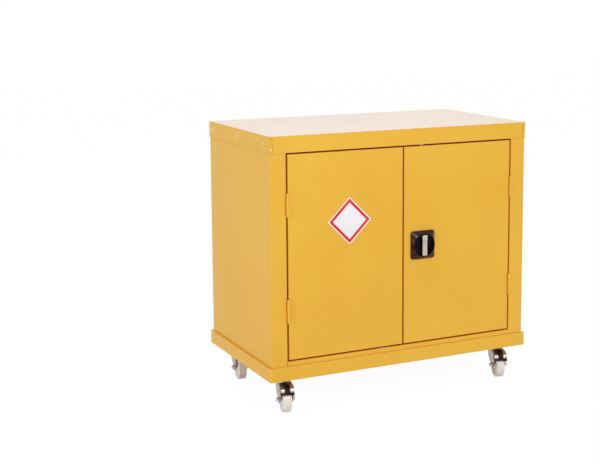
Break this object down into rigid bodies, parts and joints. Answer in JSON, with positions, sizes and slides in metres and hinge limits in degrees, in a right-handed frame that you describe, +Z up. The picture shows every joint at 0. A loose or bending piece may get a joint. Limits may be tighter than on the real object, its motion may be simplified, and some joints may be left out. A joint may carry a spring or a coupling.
{
  "type": "flammable storage cabinet",
  "caption": "Mobile steel cabinet for flammable liquids: double doors with a rod lock, leak-tight sump, inner shelf, laminate worktop, swivel castors with foot brakes.",
  "frame": {"origin": "middle of the whole outline, on the ground that the wheels stand on", "axes": "+X to the right as one faces the doors, -Y towards the front (the doors), +Z up"},
  "size_m": [0.916, 0.528, 0.853],
  "materials": {
    "body_yellow": "semi-gloss powder coat",
    "worktop_laminate": "satin laminate",
    "zinc": "bright zinc plate",
    "nylon_white": "satin moulded nylon",
    "black_plastic": "gloss moulded",
    "grip_light": "light satin",
    "plug_metal": "polished"
  },
  "bodies": {
    "cabinet": {"left_side_panel": "body_yellow", "right_side_panel": "body_yellow", "back_panel": "body_yellow", "floor_panel": "body_yellow", "top_panel": "body_yellow", "worktop_rim": "body_yellow", "worktop_board": "worktop_laminate", "base_tray": "body_yellow", "catch_strike": "zinc", "frame_hinge_leaves": "body_yellow", "shelf": "body_yellow", "shelf_uprights": "body_yellow", "shelf_clips": "zinc", "castor_plates": "zinc"},
    "left_door": {"left_door_skin": "body_yellow", "left_door_stiffener": "body_yellow", "left_door_hinge_leaves": "body_yellow", "catch_barrel": "zinc"},
    "right_door": {"right_door_skin": "body_yellow", "right_door_stiffener": "body_yellow", "right_door_hinge_leaves": "body_yellow", "lock_escutcheon": "black_plastic", "lock_nut": "zinc", "rod_guides": "body_yellow"},
    "handle": {"lock_knob": "black_plastic", "lock_grip": "grip_light", "lock_cam": "zinc", "lock_screw": "zinc"},
    "key_plug": {"lock_plug": "plug_metal"},
    "upper_rod": {"upper_rod": "zinc"},
    "lower_rod": {"lower_rod": "zinc"},
    "fork_front_left": {"castor_fork_front_left": "zinc", "castor_axle_front_left": "zinc", "castor_pivot_front_left": "zinc"},
    "wheel_front_left": {"castor_wheel_front_left": "nylon_white"},
    "pedal_front_left": {"castor_pedal_front_left": "zinc", "castor_pad_front_left": "black_plastic"},
    "fork_front_right": {"castor_fork_front_right": "zinc", "castor_axle_front_right": "zinc", "castor_pivot_front_right": "zinc"},
    "wheel_front_right": {"castor_wheel_front_right": "nylon_white"},
    "pedal_front_right": {"castor_pedal_front_right": "zinc", "castor_pad_front_right": "black_plastic"},
    "fork_rear_left": {"castor_fork_rear_left": "zinc", "castor_axle_rear_left": "zinc"},
    "wheel_rear_left": {"castor_wheel_rear_left": "nylon_white"},
    "fork_rear_right": {"castor_fork_rear_right": "zinc", "castor_axle_rear_right": "zinc"},
    "wheel_rear_right": {"castor_wheel_rear_right": "nylon_white"}
  },
  "joints": [
    {"name": "left_door_hinge", "type": "hinge", "parent": "cabinet", "child": "left_door", "pos_m": [-0.3955, -0.24905, 0.483], "axis": [0, 0, -1], "range_deg": [0, 170]},
    {"name": "right_door_hinge", "type": "hinge", "parent": "cabinet", "child": "right_door", "pos_m": [0.3955, -0.24905, 0.483], "axis": [0, 0, 1], "range_deg": [0, 170]},
    {"name": "handle_turn", "type": "hinge", "parent": "right_door", "child": "handle", "pos_m": [0.068, -0.244, 0.483], "axis": [0, 1, 0], "range_deg": [0, 90]},
    {"name": "key_turn", "type": "hinge", "parent": "handle", "child": "key_plug", "pos_m": [0.068, -0.259, 0.496], "axis": [0, 1, 0], "range_deg": [0, 90]},
    {"name": "upper_rod_slide", "type": "slide", "parent": "right_door", "child": "upper_rod", "axis": [0, 0, 1], "range_m": [0, 0.0198]},
    {"name": "lower_rod_slide", "type": "slide", "parent": "right_door", "child": "lower_rod", "axis": [0, 0, -1], "range_m": [0, 0.0198]},
    {"name": "swivel_front_left", "type": "hinge", "parent": "cabinet", "child": "fork_front_left", "pos_m": [-0.388, -0.182, 0.094], "axis": [0, 0, 1], "continuous": true},
    {"name": "roll_front_left", "type": "hinge", "parent": "fork_front_left", "child": "wheel_front_left", "pos_m": [-0.39528, -0.21624, 0.04], "axis": [0.9781, -0.2079, 0], "continuous": true},
    {"name": "brake_front_left", "type": "hinge", "parent": "fork_front_left", "child": "pedal_front_left", "pos_m": [-0.39341, -0.20743, 0.0845], "axis": [0.9781, -0.2079, 0], "range_deg": [-15, 0]},
    {"name": "swivel_front_right", "type": "hinge", "parent": "cabinet", "child": "fork_front_right", "pos_m": [0.388, -0.182, 0.094], "axis": [0, 0, 1], "continuous": true},
    {"name": "roll_front_right", "type": "hinge", "parent": "fork_front_right", "child": "wheel_front_right", "pos_m": [0.37777, -0.21547, 0.04], "axis": [0.9563, -0.2924, 0], "continuous": true},
    {"name": "brake_front_right", "type": "hinge", "parent": "fork_front_right", "child": "pedal_front_right", "pos_m": [0.3804, -0.20686, 0.0845], "axis": [0.9563, -0.2924, 0], "range_deg": [-15, 0]},
    {"name": "swivel_rear_left", "type": "hinge", "parent": "cabinet", "child": "fork_rear_left", "pos_m": [-0.388, 0.194, 0.094], "axis": [0, 0, 1], "continuous": true},
    {"name": "roll_rear_left", "type": "hinge", "parent": "fork_rear_left", "child": "wheel_rear_left", "pos_m": [-0.39348, 0.15943, 0.04], "axis": [0.9877, -0.1564, 0], "continuous": true},
    {"name": "swivel_rear_right", "type": "hinge", "parent": "cabinet", "child": "fork_rear_right", "pos_m": [0.388, 0.194, 0.094], "axis": [0, 0, 1], "continuous": true},
    {"name": "roll_rear_right", "type": "hinge", "parent": "fork_rear_right", "child": "wheel_rear_right", "pos_m": [0.38373, 0.15926, 0.04], "axis": [0.9925, -0.1219, 0], "continuous": true}
  ],
  "couplings": [
    {"joint": "upper_rod_slide", "follows": "handle_turn", "m_per_rad": 0.012604},
    {"joint": "lower_rod_slide", "follows": "handle_turn", "m_per_rad": 0.012604}
  ]
}
